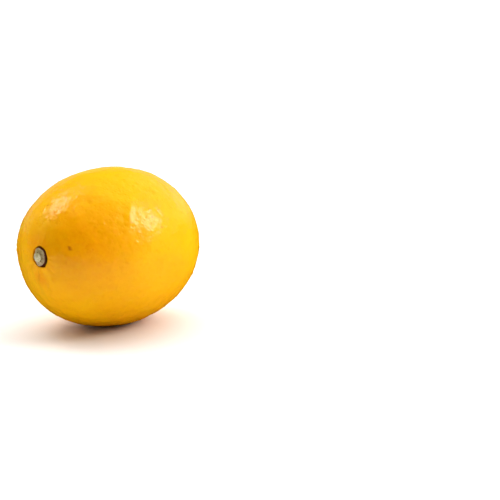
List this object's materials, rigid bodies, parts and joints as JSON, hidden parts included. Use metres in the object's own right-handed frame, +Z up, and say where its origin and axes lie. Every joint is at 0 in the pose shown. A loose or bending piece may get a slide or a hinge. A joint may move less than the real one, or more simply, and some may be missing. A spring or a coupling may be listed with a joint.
{
  "type": "lemon",
  "caption": "Whole lemon lying on its side on a small flat spot, with a blunt nipple at the blossom end and the dried stem button seated in its stem end.",
  "frame": {"origin": "on the resting surface, under the middle of the bounding box", "axes": "+X along the fruit's long axis towards the blossom end, +Z up, +Y level across the fruit"},
  "size_m": [0.0862, 0.062, 0.0616],
  "materials": {
    "peel": "ripe yellow peel, waxy satin gloss, dimpled all over by its oil glands",
    "stem_button": "dried grey-beige calyx and stalk stub, matt and finely wrinkled"
  },
  "bodies": {
    "root": {"fruit": "peel", "stem_button": "stem_button"}
  },
  "joints": []
}
